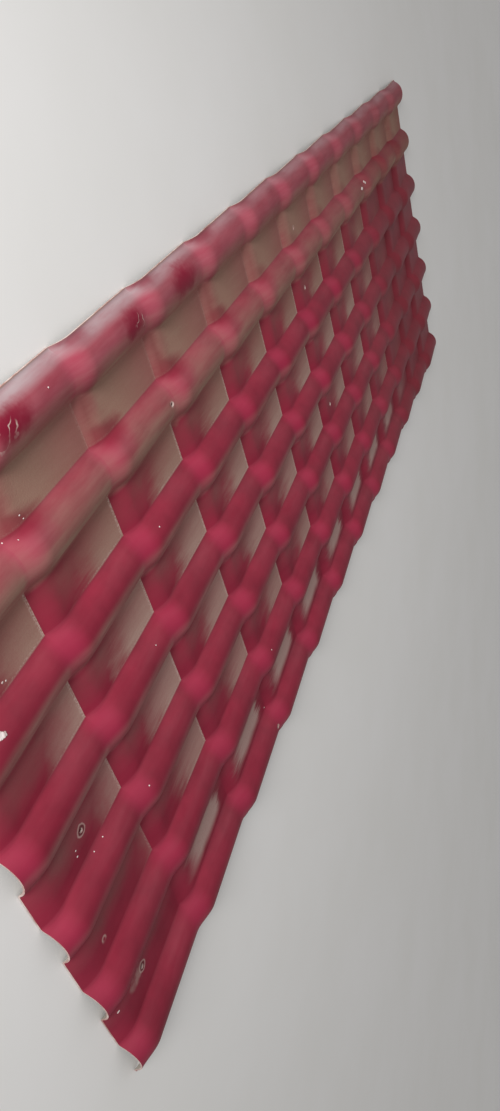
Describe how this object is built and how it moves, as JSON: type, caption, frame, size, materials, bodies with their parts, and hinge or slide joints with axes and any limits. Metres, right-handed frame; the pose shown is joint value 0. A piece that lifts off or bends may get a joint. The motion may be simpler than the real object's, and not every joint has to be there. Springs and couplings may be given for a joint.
{
  "type": "tile-effect roofing sheet",
  "caption": "Moulded plastic roofing sheet with round crests along it and a rounded step across each row of tiles, lying flat, with old screw holes.",
  "frame": {"origin": "on the floor under the middle of the sheet", "axes": "+Y up the roof from the eaves end, along the crests; +Z out of the weather face; +X across the crests"},
  "size_m": [1.05, 2.628, 0.0391],
  "materials": {
    "weathered_red_skin": "weathered satin, dusty in the troughs"
  },
  "bodies": {
    "root": {"roof_sheet": "weathered_red_skin"}
  },
  "joints": []
}
